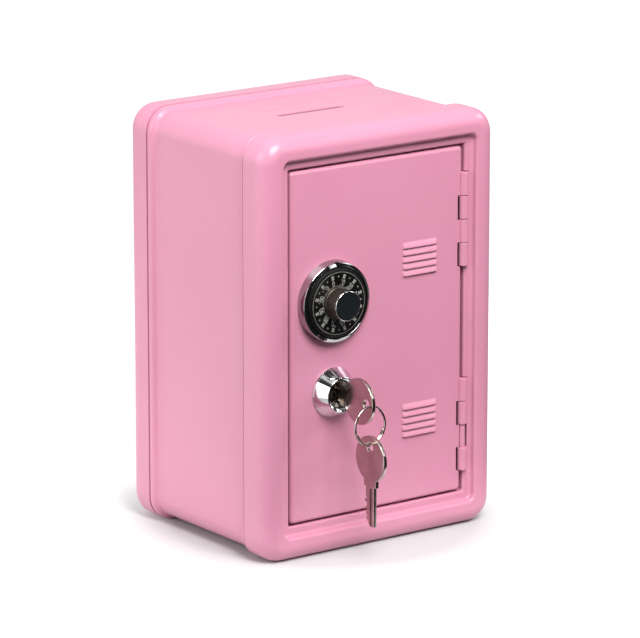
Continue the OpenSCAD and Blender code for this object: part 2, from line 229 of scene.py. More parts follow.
def moved(bm, x=0, y=0, z=0, turn=None):
    """Turns a mesh about the origin, where turn is (degrees, axis), and then shifts it."""
    if turn:
        bm.transform(Matrix.Rotation(math.radians(turn[0]), 4, turn[1]))
    bm.transform(Matrix.Translation((x, y, z)))
    return bm


def to_object(bm, name="tool"):
    """A mesh as an object in the scene; the mesh that is handed in is freed."""
    mesh = bpy.data.meshes.new(name)
    bm.to_mesh(mesh)
    bm.free()
    made = bpy.data.objects.new(name, mesh)
    bpy.context.scene.collection.objects.link(made)
    return made


def evaluated(obj):
    """The object's mesh with its modifiers applied, as a bmesh; the object is removed."""
    graph = bpy.context.evaluated_depsgraph_get()
    mesh = bpy.data.meshes.new_from_object(obj.evaluated_get(graph))
    bm = bmesh.new()
    bm.from_mesh(mesh)
    bpy.data.meshes.remove(mesh)
    bpy.data.objects.remove(obj)
    return bm


def boolean(bm, tools, operation="DIFFERENCE"):
    """Cuts the tools from a closed mesh, or joins them to it."""
    seam_weld = 0.001
    for tool in tools:
        target, other = to_object(bm), to_object(tool)
        step = target.modifiers.new("step", "BOOLEAN")
        step.operation = operation
        step.object = other
        step.solver = "EXACT"
        bm = evaluated(target)
        bpy.data.objects.remove(other)
        bmesh.ops.remove_doubles(bm, verts=bm.verts, dist=seam_weld)
    return bm


def soften(bm, edges, width, segments=2):
    """Rounds the given edges."""
    bmesh.ops.bevel(bm, geom=edges, offset=width, segments=segments, affect="EDGES", profile=0.5)


def merged(parts):
    """Several meshes in one, left as separate shells."""
    whole = bmesh.new()
    for part in parts:
        mesh = bpy.data.meshes.new("part")
        part.to_mesh(mesh)
        part.free()
        whole.from_mesh(mesh)
        bpy.data.meshes.remove(mesh)
    return whole


def from_curve(curve):
    """A curve or a text as a mesh."""
    made = bpy.data.objects.new("curve", curve)
    bpy.context.scene.collection.objects.link(made)
    bm = evaluated(made)
    bmesh.ops.remove_doubles(bm, verts=bm.verts, dist=WELD)
    return bm


def plate(outlines, low, high, edge):
    """A flat plate between two heights, with rounded edges.

    The first outline is its rim, and the others are holes.
    """
    curve = bpy.data.curves.new("outline", "CURVE")
    curve.dimensions = "2D"
    curve.fill_mode = "BOTH"
    curve.extrude = (high - low) / 2 - edge
    curve.bevel_depth = edge
    curve.bevel_resolution = 2
    curve.offset = -edge
    for outline in outlines:
        spline = curve.splines.new("POLY")
        spline.points.add(len(outline) - 1)
        for point, (x, y) in zip(spline.points, outline):
            point.co = (x, y, 0, 1)
        spline.use_cyclic_u = True
    bm = from_curve(curve)
    return moved(tidy(bm), z=(low + high) / 2)


def wire(points, r, sides):
    """A round wire along points, with blunted ends."""
    blunt_len, blunt_r = 0.3, 0.7
    rings = []
    n = len(points)
    for i, p in enumerate(points):
        d = (Vector(points[min(i + 1, n - 1)]) - Vector(points[max(i - 1, 0)])).normalized()
        u = d.cross(Vector((0, 0, 1))).normalized()
        v = u.cross(d)
        frames = [(Vector(p), r)]
        if i == 0:
            frames.insert(0, (Vector(p) - d * r * blunt_len, r * blunt_r))
        if i == n - 1:
            frames.append((Vector(p) + d * r * blunt_len, r * blunt_r))
        for c, s in frames:
            turns = [2 * math.pi * k / sides for k in range(sides)]
            rings.append([c + s * (math.cos(a) * u + math.sin(a) * v) for a in turns])
    return skin(rings, caps=True)


def finish_piece(name, bm, body, nodes=(), slot=None, material=None, sharp=32):
    """Stands a drawn mesh upright and hands it over as a visible piece."""
    bmesh.ops.recalc_face_normals(bm, faces=bm.faces)
    bm.transform(STAND)
    made = to_object(bm, name)
    made.data.polygons.foreach_set("use_smooth", [True] * len(made.data.polygons))
    made.data.set_sharp_from_angle(angle=math.radians(sharp))
    even = made.modifiers.new("even shading", "WEIGHTED_NORMAL")
    even.keep_sharp = True
    even.weight = 80
    made.data.materials.append(material or MATERIALS[slot])
    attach(made, body)
    if nodes:
        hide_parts(*nodes)


# ---------- materials ----------


def srgb(r, g, b):
    """A display colour, 0 to 255, as linear light."""
    def linear(c):
        c /= 255
        return c / 12.92 if c <= 0.04045 else ((c + 0.055) / 1.055) ** 2.4
    return (linear(r), linear(g), linear(b), 1)


class Surface:
    """A Principled material with helpers for the nodes that feed it."""

    def __init__(self, name):
        self.material = bpy.data.materials.new(name)
        self.material.use_nodes = True
        self.nodes = self.material.node_tree.nodes
        self.links = self.material.node_tree.links
        self.shader = self.nodes["Principled BSDF"]
        self.place = self.nodes.new("ShaderNodeTexCoord").outputs["Object"]

    def set(self, **values):
        """Sets plain values on the shader's own sockets."""
        for name, value in values.items():
            self.shader.inputs[name.replace("_", " ")].default_value = value
        return self

    def stretched(self, scale, offset=(0, 0, 0)):
        """The object's coordinates, scaled differently along each axis."""
        mapping = self.nodes.new("ShaderNodeMapping")
        mapping.inputs["Scale"].default_value = scale
        mapping.inputs["Location"].default_value = offset
        self.links.new(self.place, mapping.inputs["Vector"])
        return mapping.outputs["Vector"]

    def noise(self, scale, detail, place=None):
        node = self.nodes.new("ShaderNodeTexNoise")
        node.inputs["Scale"].default_value = scale
        node.inputs["Detail"].default_value = detail
        self.links.new(place or self.place, node.inputs["Vector"])
        return node.outputs["Fac"]

    def spread(self, value, low, high, start=0.3, end=0.7):
        """Maps a value from start..end onto low..high."""
        node = self.nodes.new("ShaderNodeMapRange")
        for socket, number in (("From Min", start), ("From Max", end), ("To Min", low), ("To Max", high)):
            node.inputs[socket].default_value = number
        self.links.new(value, node.inputs["Value"])
        return node.outputs["Result"]

    def colours(self, value, a, b):
        """Base colour between a and b."""
        ramp = self.nodes.new("ShaderNodeValToRGB")
        ramp.color_ramp.elements[0].color = a
        ramp.color_ramp.elements[1].color = b
        ramp.color_ramp.elements[0].position = 0.3
        ramp.color_ramp.elements[1].position = 0.7
        self.links.new(value, ramp.inputs["Fac"])
        self.links.new(ramp.outputs["Color"], self.shader.inputs["Base Color"])
        return self

    def rough(self, value, low, high):
        """Roughness between low and high."""
        self.links.new(self.spread(value, low, high), self.shader.inputs["Roughness"])
        return self

    def bump(self, value, strength, depth_mm):
        """Fine relief, on top of any that is there already."""
        node = self.nodes.new("ShaderNodeBump")
        node.inputs["Strength"].default_value = strength
        node.inputs["Distance"].default_value = depth_mm * MM
        self.links.new(value, node.inputs["Height"])
        if self.shader.inputs["Normal"].is_linked:
            self.links.new(self.shader.inputs["Normal"].links[0].from_socket, node.inputs["Normal"])
        self.links.new(node.outputs["Normal"], self.shader.inputs["Normal"])
        return self


def pink_paint():
    """Smooth semi-gloss enamel with a faint orange peel and slight cloudiness."""
    s = Surface("pink_paint")
    s.colours(s.noise(22, 3), srgb(199, 131, 155), srgb(202, 135, 159))
    s.rough(s.noise(160, 3), 0.33, 0.40)
    s.bump(s.noise(420, 2), 0.10, 0.05)
    s.bump(s.noise(1900, 2), 0.06, 0.02)
    s.set(Specular_IOR_Level=0.36, IOR=1.5)
    return s.set(Coat_Weight=0.22, Coat_Roughness=0.14, Coat_IOR=1.5).material


def chrome():
    """Bright chrome plating with the faintest polishing marks."""
    s = Surface("chrome")
    s.colours(s.noise(60, 2), srgb(214, 214, 217), srgb(226, 226, 228))
    s.rough(s.noise(700, 4), 0.035, 0.075)
    s.bump(s.noise(260, 2), 0.05, 0.05)
    return s.set(Metallic=1).material


def shaded_bezel_chrome():
    """The dial's ring: the lock's chrome with a darker colour, which is painted shade for the dark
    surroundings that the ring reflects.
    """
    s = Surface("shaded_bezel_chrome")
    # darker than the lock's chrome: painted shade, not a different plating
    s.colours(s.noise(60, 2), srgb(166, 164, 165), srgb(178, 176, 177))
    s.rough(s.noise(700, 4), 0.07, 0.11)
    s.bump(s.noise(260, 2), 0.02, 0.05)
    return s.set(Metallic=1).material


def dial_black():
    """Satin black lacquer with a fine grain."""
    s = Surface("dial_black")
    s.colours(s.noise(3200, 3), srgb(4, 4, 4), srgb(15, 14, 13))
    s.rough(s.noise(900, 3), 0.34, 0.5)
    s.bump(s.noise(2600, 2), 0.22, 0.03)
    return s.set(IOR=1.5, Specular_IOR_Level=0.25).material


def cap_black():
    """The knob's cap: black anodised metal with fine turning rings."""
    s = Surface("cap_black")
    centre = (-DIAL.x * MM, 0, -(MID_Z + DIAL.y * MM))
    rings = s.nodes.new("ShaderNodeTexWave")
    rings.wave_type = "RINGS"
    rings.rings_direction = "Y"
    rings.inputs["Scale"].default_value = 900
    rings.inputs["Distortion"].default_value = 0.4
    s.links.new(s.stretched((1, 1, 1), centre), rings.inputs["Vector"])
    s.colours(s.noise(1800, 3), srgb(14, 17, 19), srgb(27, 31, 33))
    s.rough(s.noise(500, 2), 0.30, 0.42)
    s.bump(rings.outputs["Fac"], 0.15, 0.02)
    return s.set(Specular_IOR_Level=0.3).material


def knob_metal():
    """Dark bronze-grey metal of the knurled knob."""
    s = Surface("knob_metal")
    s.colours(s.noise(900, 3), srgb(58, 51, 45), srgb(96, 86, 78))
    s.rough(s.noise(1500, 3), 0.34, 0.52)
    s.bump(s.noise(3000, 2), 0.2, 0.03)
    return s.set(Metallic=0.85).material


def nickel():
    """Satin nickel with fine lengthwise brushing."""
    s = Surface("nickel")
    grain = s.noise(1, 3, s.stretched((2400, 2400, 260)))
    s.colours(s.noise(120, 2), srgb(170, 154, 149), srgb(190, 175, 170))
    s.rough(grain, 0.16, 0.26)
    s.bump(grain, 0.07, 0.02)
    return s.set(Metallic=1).material


def plug_metal():
    """Die-cast plug, bright on its worn edges."""
    s = Surface("plug_metal")
    s.colours(s.noise(800, 4), srgb(78, 73, 66), srgb(128, 122, 112))
    s.rough(s.noise(1200, 4), 0.18, 0.34)
    s.bump(s.noise(1600, 3), 0.25, 0.04)
    return s.set(Metallic=1).material


def zinc():
    """Bright zinc plating, slightly clouded."""
    s = Surface("zinc")
    s.colours(s.noise(260, 3), srgb(176, 178, 182), srgb(198, 200, 203))
    s.rough(s.noise(500, 3), 0.22, 0.34)
    s.bump(s.noise(900, 2), 0.06, 0.02)
    return s.set(Metallic=1).material


def spring_steel():
    """Plain rolled spring steel, slightly blued."""
    s = Surface("spring_steel")
    s.colours(s.noise(500, 3), srgb(128, 130, 138), srgb(158, 158, 162))
    s.rough(s.noise(1, 3, s.stretched((400, 400, 2600))), 0.24, 0.38)
    s.bump(s.noise(2200, 2), 0.1, 0.02)
    return s.set(Metallic=1).material


def brass():
    """Stamped brass wafers."""
    s = Surface("brass")
    s.colours(s.noise(600, 3), srgb(186, 152, 84), srgb(212, 180, 110))
    s.rough(s.noise(1400, 3), 0.24, 0.38)
    s.bump(s.noise(2000, 2), 0.12, 0.02)
    return s.set(Metallic=1).material


def print_white():
    """Pale ink of the dial's numbers, a little thin in places."""
    s = Surface("print_white")
    s.colours(s.noise(2400, 3), srgb(128, 126, 121), srgb(164, 162, 156))
    s.rough(s.noise(1500, 2), 0.40, 0.52)
    s.bump(s.noise(3000, 2), 0.1, 0.02)
    return s.material


def white_floor():
    """A pale table top that glows away from the safe, so that it runs into the white room."""
    s = Surface("white_floor")
    s.colours(s.noise(3, 2), srgb(190, 191, 191), srgb(194, 195, 195))
    s.rough(s.noise(40, 2), 0.55, 0.62)
    # how far a point is from a place behind the front plane, in units of a radius in metres
    radius, behind = 0.060, 0.030
    distance = s.nodes.new("ShaderNodeVectorMath")
    distance.operation = "LENGTH"
    s.links.new(s.stretched((1 / radius, 1 / radius, 0), (0, -behind / radius, 0)), distance.inputs[0])
    glow = s.spread(distance.outputs["Value"], 0, 0.6, start=1.05, end=1.75)
    s.links.new(glow, s.shader.inputs["Emission Strength"])
    return s.set(Emission_Color=(1, 1, 1, 1)).material


MATERIALS = {
    make.__name__: make()
    for make in (pink_paint, chrome, dial_black, knob_metal, nickel, plug_metal, zinc, spring_steel, brass)
}
# the dial ring's chrome, darkened as painted shade for the dark surroundings it reflects
SHADED_BEZEL_CHROME = shaded_bezel_chrome()
CAP_BLACK = cap_black()
PRINT = print_white()

# CAD nodes that stay visible keep their shape and get the finish that the record names.
for part in frame["record"]["subparts"]:
    mesh = frame["nodes"][part["node"]].data
    mesh.materials.clear()
    mesh.materials.append(MATERIALS[part["material_slot"]])

# ---------- housing ----------


def plain_corner(inset):
    """Corner radius of the body shell and the rear cover."""
    return CORNER_R - inset


def frame_corner(inset):
    """Corner radius of the front frame, from its rim in to the doorway."""
    steps = ((0, CORNER_R), (FRAME_ROUND, 4), (STEP_AT, 4.5), (LEDGE_AT, 1.5), (OPEN_AT, 0.6))
    for (d0, r0), (d1, r1) in zip(steps, steps[1:]):
        if inset <= d1:
            return r0 + (r1 - r0) * (inset - d0) / (d1 - d0)
    return steps[-1][1]


def knuckle_heights(owner):
    """The middle heights of the knuckles that belong to the door (0) or the frame (1)."""
    return [
        top - (i + 0.5) * KNUCKLE_PITCH for top in HINGE_TOPS for i in range(owner, KNUCKLE_COUNT, 2)
    ]


def knuckle(y):
    """One rolled knuckle with softened ends."""
    half = (KNUCKLE_PITCH - KNUCKLE_GAP) / 2
    edge, play = 0.25, 0.05
    bore = PIN_R + play
    profile = [(bore, -half), (KNUCKLE_R - edge, -half)]
    profile += arc(KNUCKLE_R - edge, -half + edge, edge, -90, 0, 3)[1:]
    profile += arc(KNUCKLE_R - edge, half - edge, edge, 0, 90, 3)
    profile += [(bore, half)]
    return moved(lathe(profile, 40), HINGE.x, y, HINGE.z, turn=(-90, "X"))


def knuckle_room(y, left, right=0.4):
    """What is cut from one sheet so that the other sheet's knuckle can turn in it."""
    half = (KNUCKLE_PITCH + KNUCKLE_GAP) / 2
    behind, before = 4, 2.6
    low = (HINGE.x - KNUCKLE_R - left, y - half, HINGE.z - behind)
    return block(low, (HINGE.x + KNUCKLE_R + right, y + half, HINGE.z + before))


def body_shell():
    """The wrap of sides, top and bottom, with sunk panels between two beads and the coin slot."""
    rear = -drawn_box("rear_cover")[1].z
    # beside the frame's and the cover's edges: (depth below the face, distance from the edge)
    groove = ((-SHEET, 0.4), (-0.5, 0.5), (-0.25, 0.7), (-0.1, 1.2))
    crown = groove[-1][0]
    path = [(-SHEET, COVER_ROUND - DEPTH)] + [(x, -rear + away) for x, away in groove]
    path += soft_step((crown, -rear + 2.5), (-PANEL_DROP, -rear + 5.2))
    path += soft_step((-PANEL_DROP, -FRAME_DEPTH - 3.6), (crown, -FRAME_DEPTH - groove[-1][1]))
    path += [(x, -FRAME_DEPTH - away) for x, away in groove[-2::-1]]
    path += [(-SHEET, -FRAME_ROUND - 1)]
    bm = around(thicken(path), WIDTH / 2, HEIGHT / 2, plain_corner, 16)

    slot_x, slot_forward, slot_len, slot_w, slot_r = -2.5, 3, 34, 3.4, 0.6
    ring = rounded_ring(slot_len / 2, slot_w / 2, slot_r, 0, 4)
    low, high = HEIGHT / 2 - 8, HEIGHT / 2 + 4
    tool = [[(x + slot_x, y, -z - DEPTH / 2 + slot_forward) for x, z, _ in ring] for y in (low, high)]
    bm = boolean(bm, [skin(tool, caps=True)])
    top, near, play = HEIGHT / 2 - PANEL_DROP, 0.02, 0.1

    def on_rim(vert):
        return (
            abs(vert.co.y - top) < near
            and abs(vert.co.x - slot_x) < slot_len / 2 + play
            and abs(vert.co.z + DEPTH / 2 - slot_forward) < slot_w / 2 + play
        )

    rim = [e for e in bm.edges if all(on_rim(v) for v in e.verts) and e.calc_face_angle(0) > 1]
    soften(bm, rim, 0.35, 3)
    finish_piece("body_shell_sheet", bm, "housing", ["body_shell"], "pink_paint")


def front_frame():
    """The drawn rim with its step, ledge and folded lip, half of the knuckles and two door stops."""
    path = [(0, -FRAME_DEPTH)] + arc(-FRAME_ROUND, -FRAME_ROUND, FRAME_ROUND, 0, 90, 20)
    path += arc(-STEP_AT, -STEP_R, STEP_R, 90, 180, 8)
    path += arc(-LEDGE_AT, -STEP_R, STEP_R, 0, -90, 8)[1:]
    path += arc(-OPEN_AT + LIP_FOLD, DOOR_Z - LIP_FOLD, LIP_FOLD, 90, 180, 5)
    path += [(-OPEN_AT, drawn_box("front_frame")[0].z)]
    bm = around(thicken(path), WIDTH / 2, HEIGHT / 2, frame_corner, 16)
    bm = boolean(bm, [knuckle_room(y, left=0.9) for y in knuckle_heights(0)])
    bm = boolean(bm, [knuckle(y) for y in knuckle_heights(1)], "UNION")
    stop_low = DOOR_Z - DOOR_FOLD - KNUCKLE_GAP - SHEET
    stop_y, stop_half, stop_root, stop_reach = 50, 4, 0.4, 2.5
    open_x = -WIDTH / 2 + OPEN_AT
    for y in (-stop_y, stop_y):
        low = (open_x - stop_root, y - stop_half, stop_low)
        tab = block(low, (open_x + stop_reach, y + stop_half, stop_low + SHEET))
        soften(tab, tab.edges[:], 0.2)
        bm = boolean(bm, [tab], "UNION")
    finish_piece("front_frame_sheet", bm, "housing", ["front_frame"], "pink_paint")


def rear_cover():
    """The pan that closes the back, with a round edge."""
    rear_edge = drawn_box("rear_cover")[1].z
    centre = COVER_ROUND - DEPTH
    outer = [(0, rear_edge)] + arc(-COVER_ROUND, centre, COVER_ROUND, 0, -90, 20)
    inner = [(-SHEET, rear_edge)] + arc(-COVER_ROUND, centre, COVER_ROUND - SHEET, 0, -90, 20)
    rings = [
        rounded_ring(WIDTH / 2 + x, HEIGHT / 2 + x, plain_corner(-x), z, 16)
        for x, z in outer[::-1] + inner
    ]
    bm = skin(rings, caps=True)
    finish_piece("rear_cover_sheet", bm, "housing", ["rear_cover"], "pink_paint")


def hinge_pins():
    """The two pins, with domed ends."""
    length = KNUCKLE_COUNT * KNUCKLE_PITCH - 2 * PIN_INSET
    dome = [(0, 0), (PIN_R * 0.5, 0.05), (PIN_R * 0.85, 0.2), (PIN_R, 0.45)]
    profile = dome + [(r, length - z) for r, z in dome[::-1]]
    for name, top in zip(HINGE_PINS, HINGE_TOPS):
        low = top - PIN_INSET - length
        bm = moved(lathe(profile, 32, closed=False), HINGE.x, low, HINGE.z, turn=(-90, "X"))
        finish_piece(name + "_rod", bm, "housing", [name], "pink_paint")


# ---------- door ----------


def louvre_hood(length, height, rise):
    """A stamped hood: highest along its open lower edge, running out softly at the top and the ends."""
    thick, end_soft, proud = 0.5, 1.6, 0.001
    across, up = 40, 14

    def lift(x, v):
        """How far the hood stands out at x, v above its open edge."""
        side = min(1, (length / 2 - abs(x)) / end_soft)
        crown = math.cos(math.pi / 2 * min(1, v / height)) ** 1.25
        return rise * crown * math.sqrt(max(0, 1 - (1 - side) ** 2))

    def place(i):
        """The columns' places, closer together towards both ends."""
        s = 2 * i / across - 1
        return length / 2 * (1.5 * s - 0.5 * s ** 3)

    bm = bmesh.new()
    columns = [place(i) for i in range(across + 1)]
    layers = []
    for drop in (0, thick):
        rows = []
        for j in range(up + 1):
            v = height * j / up
            rows.append([bm.verts.new((x, v, lift(x, v) - drop + proud)) for x in columns])
        layers.append(rows)
    strips = [pair for rows in layers for pair in zip(rows, rows[1:])]
    top, low = layers
    strips += [(top[0], low[0]), (top[-1], low[-1])]
    strips += [([row[end] for row in top], [row[end] for row in low]) for end in (0, -1)]
    for a, b in strips:
        for i in range(len(a) - 1):
            bm.faces.new((a[i], a[i + 1], b[i + 1], b[i]))
    bmesh.ops.recalc_face_normals(bm, faces=bm.faces)
    return bm


def louvres(bm):
    """Cuts the slits into the door's sheet and adds a hood over each."""
    length, height, rise, pitch = 18, 2.5, 1, 2.95
    x, tops, count = 21.9, (34.9, -34.6), 5
    slit_half = length / 2 - 0.9
    slit_low, slit_high = 0.6, 1.5
    heights = [top - i * pitch for top in tops for i in range(count)]
    bm = boolean(bm, [
        block((x - slit_half, y - slit_low, DOOR_Z - 2), (x + slit_half, y + slit_high, DOOR_Z + 1))
        for y in heights
    ])
    return boolean(bm, [moved(louvre_hood(length, height, rise), x, y, DOOR_Z) for y in heights], "UNION")


def door():
    """The door's sheet with folded edges, louvres, holes for dial and lock, and its knuckles."""
    low, high = drawn_box("door_panel")
    hinge_side_gap = 1.3
    left, right = low.x, WIDTH / 2 - OPEN_AT - hinge_side_gap
    half_w, half_h, mid_x = (right - left) / 2, (high.y - low.y) / 2, (right + left) / 2
    r, corner_r, least_r = DOOR_EDGE_R, 1.7, 0.1
    outer = arc(-r, DOOR_Z - r, r, 90, 0, 8) + [(0, DOOR_Z - DOOR_FOLD)]
    inner = [(-SHEET, DOOR_Z - DOOR_FOLD)] + arc(-r, DOOR_Z - r, r - SHEET, 0, 90, 8)
    rings = [
        rounded_ring(half_w + x, half_h + x, max(corner_r + x, least_r), z, 10) for x, z in outer + inner
    ]
    bm = moved(skin(rings, caps=True), x=mid_x)
    bm = boolean(bm, [knuckle_room(y, left=1.1) for y in knuckle_heights(1)])
    stem_hole_r, barrel_hole_r = 5, 7.9
    bm = boolean(bm, [
        moved(lathe([(0, -2), (hole_r, -2), (hole_r, 1), (0, 1)], 48), at.x, at.y, DOOR_Z)
        for at, hole_r in ((DIAL, stem_hole_r), (LOCK, barrel_hole_r))
    ])
    bm = louvres(bm)

    # webs that run from the sheet into the door's own knuckles
    half = (KNUCKLE_PITCH - KNUCKLE_GAP) / 2
    web_left, web_right, sunk = HINGE.x - 5, HINGE.x - PIN_R - 0.3, 0.01
    for y in knuckle_heights(0):
        web = block((web_left, y - half, DOOR_Z - SHEET), (web_right, y + half, DOOR_Z - sunk))
        bm = boolean(bm, [web, knuckle(y)], "UNION")
    finish_piece("door_sheet", bm, "door", ["door_panel"], "pink_paint")


# ---------- dial ----------


def dial_bezel():
    """The bright ring on its stem, with an index mark at twelve o'clock that is filled with black."""
    base_r, brow_r, seat_r, floor, top = 17.4, 16.85, 15.15, 1, 4.5
    bore_r, stem_r, stem_end = 2.55, 4.9, -7
    brow_round, seat_round = 0.5, 0.25
    profile = [(bore_r, stem_end), (stem_r, stem_end), (stem_r, 0)]
    profile += [(base_r - 0.1, 0), (base_r, 0.12), (base_r - 0.1, 0.5)]
    profile += arc(brow_r - brow_round, top - 1.0, brow_round, 5, 75, 10)
    profile += arc(seat_r + 0.3, top - seat_round, seat_round, 75, 170, 6)
    profile += [(seat_r, top - 0.7), (seat_r, floor), (bore_r, floor)]
    bm = moved(lathe(profile, 160), DIAL.x, DIAL.y, DOOR_Z)
    notch = plate([[(-0.6, 15), (0.6, 15), (1.5, 18.5), (-1.5, 18.5)]], 2.6, 5.5, 0.02)
    bm = boolean(bm, [moved(notch, DIAL.x, DIAL.y, DOOR_Z)])
    # the ring gets the darker chrome: painted shade for the dark surroundings it reflects
    finish_piece("dial_bezel_ring", bm, "door", ["dial_bezel"], "chrome", SHADED_BEZEL_CHROME)
    ink = plate([[(-0.62, 15.25), (0.62, 15.25), (1.0, 16.8), (-1.0, 16.8)]], 2.3, 3.3, 0.02)
    finish_piece("dial_index_ink", moved(ink, DIAL.x, DIAL.y, DOOR_Z), "door", (), "dial_black")


def face_height(r):
    """How high the dial's dished face stands above the door at a radius."""
    for (r0, h0), (r1, h1) in zip(DISC_FACE, DISC_FACE[1:]):
        if r >= r1:
            return h0 + (h1 - h0) * (r0 - r) / (r0 - r1)
    return DISC_FACE[-1][1]


def dial_disc():
    """The turning plate with its dished face."""
    rim_r, bore_r, back = DISC_FACE[0][0], DISC_FACE[-1][0], 1.3
    steps = (14.68, 14.5, 14.2, 13.9, 13.55, 13.2, 12.9, 12.3, 11.3, 10.3, 9.4, 8.4, 7.5, 6.7)
    profile = [(bore_r, back), (rim_r, back)] + [(r, face_height(r)) for r in (rim_r, *steps, bore_r)]
    bm = moved(lathe(profile, 128), DIAL.x, DIAL.y, DOOR_Z)
    finish_piece("dial_disc_plate", bm, "dial", ["dial_disc"], "dial_black")


def numeral(text, height):
    """A number as a thin solid of ink, centred on the origin."""
    capital_share, narrow = 0.7, 0.68
    curve = bpy.data.curves.new("numeral", "FONT")
    curve.body = text
    curve.align_x = "CENTER"
    curve.align_y = "CENTER"
    curve.size = height / capital_share
    curve.space_character = 0.92
    curve.extrude = INK / 2
    curve.offset = 0.07
    curve.resolution_u = 4
    bm = from_curve(curve)
    bm.transform(Matrix.Diagonal((narrow, 1, 1, 1)))
    return tidy(bm)


def dial_print():
    """The numbers, marks, dots and two thin rings, as ink that stands on the dished face."""
    turn_at_rest, count = 15.5, 12
    number_r, number_h, mark_r, dot_r = 8.5, 2.7, 11.3, 0.34
    low, high = -INK / 2, INK / 2
    step = 360 / count
    parts = []

    def put(mark, r, angle):
        """Lays a mark on the dished face, at a radius and an angle from twelve o'clock."""
        moved(mark, y=r)
        for vert in mark.verts:
            vert.co.z += face_height(math.hypot(vert.co.x, vert.co.y)) + INK_LIFT
        parts.append(moved(mark, turn=(angle, "Z")))

    for i in range(count):
        angle = turn_at_rest - step * i
        put(numeral(str(10 * i), number_h), number_r, angle)
        put(plate([rounded_outline(0.66, 0.85, 0.12)], low, high, 0.01), mark_r, angle)
        put(lathe([(0, low), (dot_r, low), (dot_r, high), (0, high)], 12), mark_r, angle - step / 2)
    for inner, outer in ((13.05, 13.2), (6.95, 7.1)):
        h = face_height((inner + outer) / 2)
        parts.append(lathe([(inner, h + low), (outer, h + low), (outer, h + high), (inner, h + high)], 128))
    bm = moved(merged(parts), DIAL.x, DIAL.y, DOOR_Z)
    finish_piece("dial_print", bm, "dial", (), None, PRINT)


def dial_knob():
    """The knurled knob, the bright ring round its top and the black cap in it."""
    ridges, ridge_rise, ridge_depth = 44, 0.93, 0.16
    foot_r, head_r, foot, top = 6.7, 6.25, 3.9, 10.7
    flute_r, flute_low, flute_high = foot_r - 0.2, foot + 1, top - 0.35

    def zigzag(x):
        return abs(x % 1 - 0.5) * 2

    def knurl(a, r, z):
        """Crossed ridges between the knob's plain foot and its head."""
        if r < head_r - 0.3 or z < foot + 0.9:
            return r
        along, up = a * ridges / (2 * math.pi), z / ridge_rise
        return r - ridge_depth * (zigzag(along + up) + zigzag(along - up))

    profile = [(0, foot), (foot_r, foot), (foot_r, foot + 0.7), (foot_r - 0.15, foot + 0.85)]
    count = 24
    for i in range(count + 1):
        z = flute_low + (flute_high - flute_low) * i / count
        profile.append((flute_r + (head_r - flute_r) * i / count, z))
    profile += [(head_r - 0.35, top), (0, top)]
    bm = moved(lathe(profile, ridges * 6, closed=False, wobble=knurl), DIAL.x, DIAL.y, DOOR_Z)
    finish_piece("dial_knob_knurled", bm, "dial", ["dial_knob"], "knob_metal", sharp=50)

    outer, inner, crown, edge = 6.3, 5.85, 11.7, 0.3
    profile = [(inner, top), (outer, top), (outer, crown - edge)]
    profile += arc(outer - edge, crown - edge, edge, 0, 90, 5)[1:] + [(inner, crown - 0.05)]
    bm = moved(lathe(profile, 96), DIAL.x, DIAL.y, DOOR_Z)
    finish_piece("knob_edge_ring", bm, "dial", ["knob_ring"], "chrome")

    profile = [(0, top), (inner, top), (inner, crown - 0.28), (inner - 0.12, crown - 0.2), (0, crown - 0.2)]
    bm = moved(lathe(profile, 96, closed=False), DIAL.x, DIAL.y, DOOR_Z)
    finish_piece("knob_cap_disc", bm, "dial", ["knob_cap"], "dial_black", CAP_BLACK)


# ---------- lock ----------


def lock_housing():
    """The cone in front of the door and the threaded barrel behind it, flat on two sides."""
    base_r, top, bore_r, back, end_r = 10.6, 6.6, 5.75, -12, 7.1
    root_r, thread_r, turns = 7.35, 7.8, 14
    thread_low, thread_len = -11.8, 11.2
    profile = [(bore_r, back), (end_r, back)]
    for i in range(turns):
        z = thread_low + thread_len * i / turns
        profile += [(root_r, z), (thread_r, z + 0.4)]
    profile += [(root_r, -0.5), (root_r, 0), (base_r - 0.1, 0), (base_r, 0.15), (base_r, 0.55)]
    profile += [(base_r - 0.2, 0.8), (7.6, top - 0.45)]
    profile += arc(7.25, top - 0.3, 0.3, 28, 90, 4)
    profile += [(6.9, top), (6.7, top - 0.15), (6.3, top - 1.7), (6.2, top - 1.8), (bore_r, top - 1.85)]
    bm = moved(lathe(profile, 128), LOCK.x, LOCK.y, DOOR_Z)
    flat_at, reach, low, high = 6.8, 12, -13, -0.01
    tools = [
        block((-reach, -reach, low), (reach, -flat_at, high)),
        block((-reach, flat_at, low), (reach, reach, high)),
    ]
    bm = boolean(bm, [moved(tool, LOCK.x, LOCK.y, DOOR_Z) for tool in tools])
    # the quarter-turn recess in the barrel's end
    sector = [(0, 0)] + arc(0, 0, reach, -198, -72, 12)
    recess = plate([sector], -14, -10.4, 0.01)
    bm = boolean(bm, [moved(recess, LOCK.x, LOCK.y, DOOR_Z)])
    finish_piece("lock_housing_shell", bm, "door", ["lock_housing"], "chrome")


